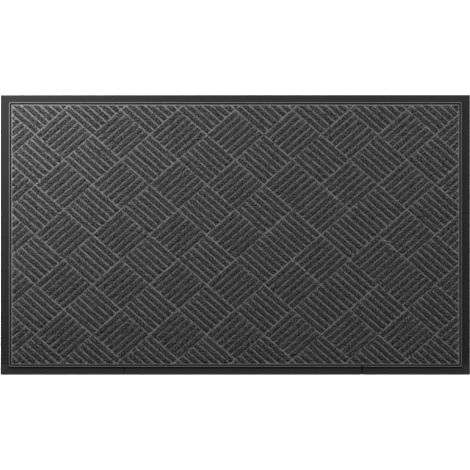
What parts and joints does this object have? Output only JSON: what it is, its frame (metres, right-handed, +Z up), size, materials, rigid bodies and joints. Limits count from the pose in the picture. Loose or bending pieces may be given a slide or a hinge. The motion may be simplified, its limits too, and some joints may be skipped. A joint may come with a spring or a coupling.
{
  "type": "door mat",
  "caption": "Rectangular entrance mat: a rubber base with a ramped border and a ribbed felt face bonded in its recess, laid flat on a floor.",
  "frame": {"origin": "middle of the underside, on the plane the mat lies on", "axes": "+X along the mat's long side, +Y across it towards the back edge, +Z up"},
  "size_m": [0.75, 0.446, 0.0075],
  "materials": {
    "black_rubber": "moulded rubber, satin, fine grain",
    "latex_bond": "dried latex, dull",
    "backing_cloth": "plain woven polypropylene tape, dull sheen",
    "grey_felt": "needle-punched polypropylene, ribbed pile, matt"
  },
  "bodies": {
    "root": {"rubber_base": "black_rubber", "adhesive_film": "latex_bond", "scrim_cloth": "backing_cloth", "face_felt": "grey_felt"}
  },
  "joints": []
}
